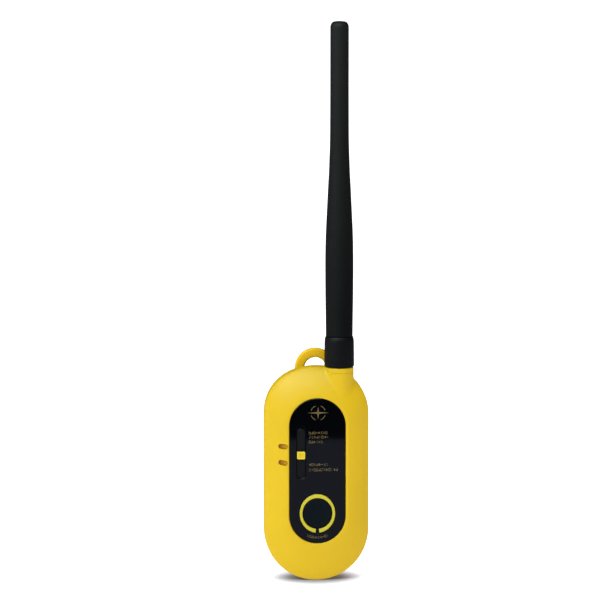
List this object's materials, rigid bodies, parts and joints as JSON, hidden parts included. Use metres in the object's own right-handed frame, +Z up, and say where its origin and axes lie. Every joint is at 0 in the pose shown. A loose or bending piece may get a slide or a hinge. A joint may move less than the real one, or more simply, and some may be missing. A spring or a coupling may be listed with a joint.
{
  "type": "handheld gps unit",
  "caption": "Palm-sized capsule housing with a gloss panel, a sprung slider, a push button in a C-shaped ring, light pipes, a lanyard loop and a screw-on whip antenna.",
  "frame": {"origin": "centre of the flat rear face, on the plane the device lies on", "axes": "+Z up along the antenna, the front with its controls faces -Y and the flat rear face looks to +Y, +X is the right-hand side seen from the front"},
  "size_m": [0.0527, 0.0249, 0.2819],
  "materials": {
    "housing_yellow": "satin moulded plastic with a very fine grain",
    "loop_yellow": "satin moulded plastic, a deeper orange-yellow",
    "knob_yellow": "satin moulded plastic",
    "panel_black": "polished, mirror-like gloss",
    "button_black": "fine matt",
    "slider_black": "semi-gloss",
    "lens_amber": "translucent, smooth",
    "antenna_rubber": "matt moulded rubber with a soft sheen",
    "seal_rubber": "matt moulded rubber",
    "silicone_grey": "matt silicone",
    "label_grey": "satin printed film, blank",
    "bright_steel": "plated",
    "gold_brass": "gold plated",
    "copper_wire": "enamelled copper",
    "glass_fibre": "drawn glass-fibre rod",
    "board_green": "solder mask",
    "chip_black": "moulded epoxy",
    "white_plastic": "satin",
    "battery_foil": "crinkled pouch foil",
    "foam_black": "open-cell foam, fabric faced",
    "lead_red": "wire insulation",
    "lead_black": "wire insulation"
  },
  "bodies": {
    "case": {"antenna_jack": "gold_brass", "battery_connector": "white_plastic", "battery_lead_black": "lead_black", "battery_lead_red": "lead_red", "battery_pack": "battery_foil", "battery_pad": "foam_black", "bluetooth_module": "bright_steel", "board_screw_1": "bright_steel", "board_screw_2": "bright_steel", "button_ring": "housing_yellow", "button_seal": "silicone_grey", "case_screw_1": "bright_steel", "case_screw_2": "bright_steel", "case_screw_3": "bright_steel", "case_screw_4": "bright_steel", "charging_jack": "bright_steel", "coax_connector": "gold_brass", "coax_lead": "lead_black", "front_panel": "panel_black", "front_shell": "housing_yellow", "jack_nut": "gold_brass", "jack_washer": "bright_steel", "lanyard_loop": "loop_yellow", "led_lower": "white_plastic", "led_upper": "white_plastic", "light_pipe_lower": "lens_amber", "light_pipe_upper": "lens_amber", "main_board": "board_green", "port_plug_anchor": "seal_rubber", "processor_chip": "chip_black", "radio_shield": "bright_steel", "rating_label": "label_grey", "rear_shell": "housing_yellow", "shell_gasket": "silicone_grey", "slide_switch_body": "bright_steel", "tact_switch_body": "chip_black"},
    "button": {"function_button": "button_black", "tact_switch_plunger": "white_plastic"},
    "slider": {"slider_knob": "knob_yellow", "slider_bar": "slider_black", "slider_carrier": "white_plastic", "slide_switch_lever": "white_plastic"},
    "port_cover": {"port_plug": "seal_rubber"},
    "antenna_seal_ring": {"antenna_seal": "seal_rubber"},
    "antenna": {"antenna_whip": "antenna_rubber", "antenna_sleeve": "antenna_rubber", "antenna_plug": "gold_brass", "antenna_rod": "glass_fibre", "antenna_coil": "copper_wire"}
  },
  "joints": [
    {"name": "button_press", "type": "slide", "parent": "case", "child": "button", "axis": [0, 1, 0], "range_m": [0, 0.0007]},
    {"name": "slider_slide", "type": "slide", "parent": "case", "child": "slider", "axis": [0, 0, 1], "range_m": [-0.0012, 0.0012]},
    {"name": "port_plug_swing", "type": "hinge", "parent": "case", "child": "port_cover", "pos_m": [0.0259, -0.0106, -0.0132], "axis": [0, 1, 0], "range_deg": [0, 110]},
    {"name": "antenna_unscrew", "type": "hinge", "parent": "case", "child": "antenna_seal_ring", "pos_m": [0.0115, -0.0154, 0.054], "axis": [0, 0, 1], "range_deg": [0, 2162]},
    {"name": "antenna_lift", "type": "slide", "parent": "antenna_seal_ring", "child": "antenna", "axis": [0, 0, 1], "range_m": [0, 0.00423]}
  ],
  "couplings": [
    {"joint": "antenna_unscrew", "follows": "antenna_lift", "rad_per_m": 8905.2}
  ]
}
